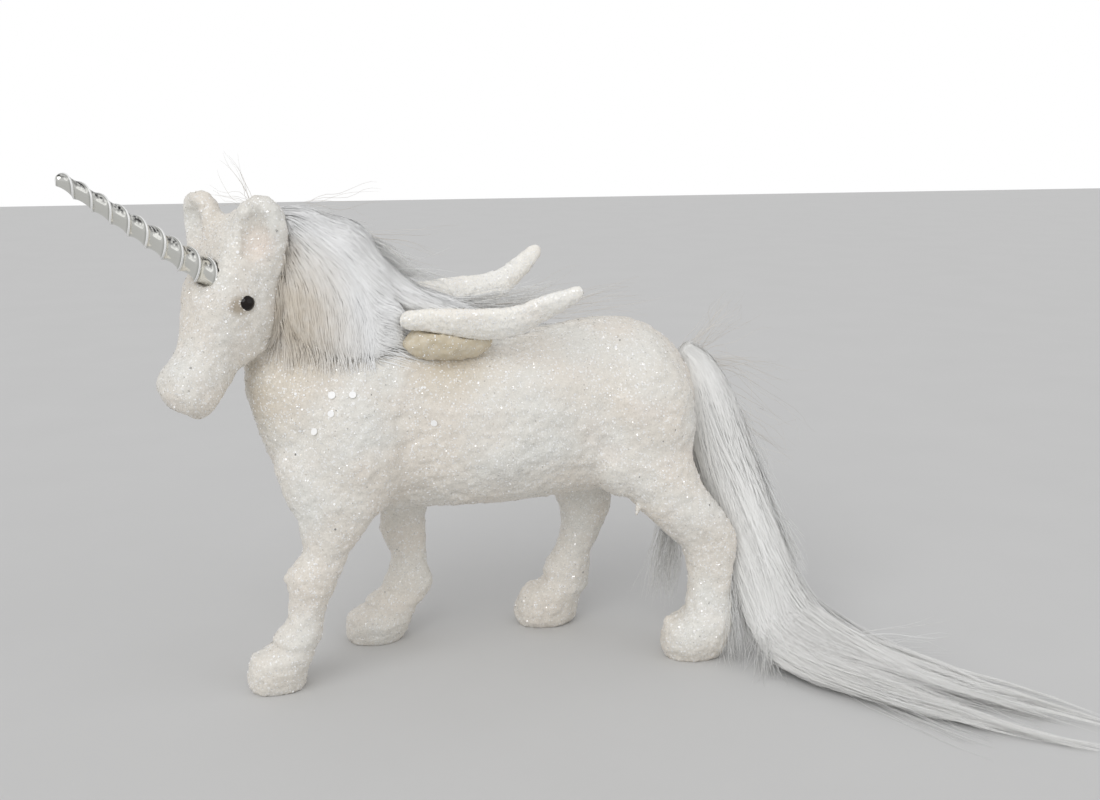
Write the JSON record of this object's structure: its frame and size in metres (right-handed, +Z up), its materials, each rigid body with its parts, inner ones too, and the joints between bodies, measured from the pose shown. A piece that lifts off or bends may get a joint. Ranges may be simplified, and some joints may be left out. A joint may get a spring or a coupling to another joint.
{
  "type": "unicorn figurine",
  "caption": "Standing winged unicorn with a white glitter coat, a twisted silver horn, black bead eyes, a fur mane and a long fur tail that trails on the table.",
  "frame": {"origin": "on the table under the middle of the bounding box", "axes": "+X from the head towards the tail, +Y towards the figure's right side, +Z up"},
  "size_m": [0.219, 0.1018, 0.1256],
  "materials": {
    "coat": "off-white glitter coat, grainy with small bright flakes",
    "horn": "polished silver plating",
    "eye": "glossy black bead",
    "wing": "white glitter coat",
    "glue": "clear yellowish hot glue under glitter",
    "fur": "long white synthetic fur"
  },
  "bodies": {
    "root": {"body": "coat", "horn": "horn", "eye_left": "eye", "eye_right": "eye", "wing_left": "wing", "wing_right": "wing", "wing_glue_left": "glue", "wing_glue_right": "glue", "mane": "fur", "tail": "fur"}
  },
  "joints": []
}
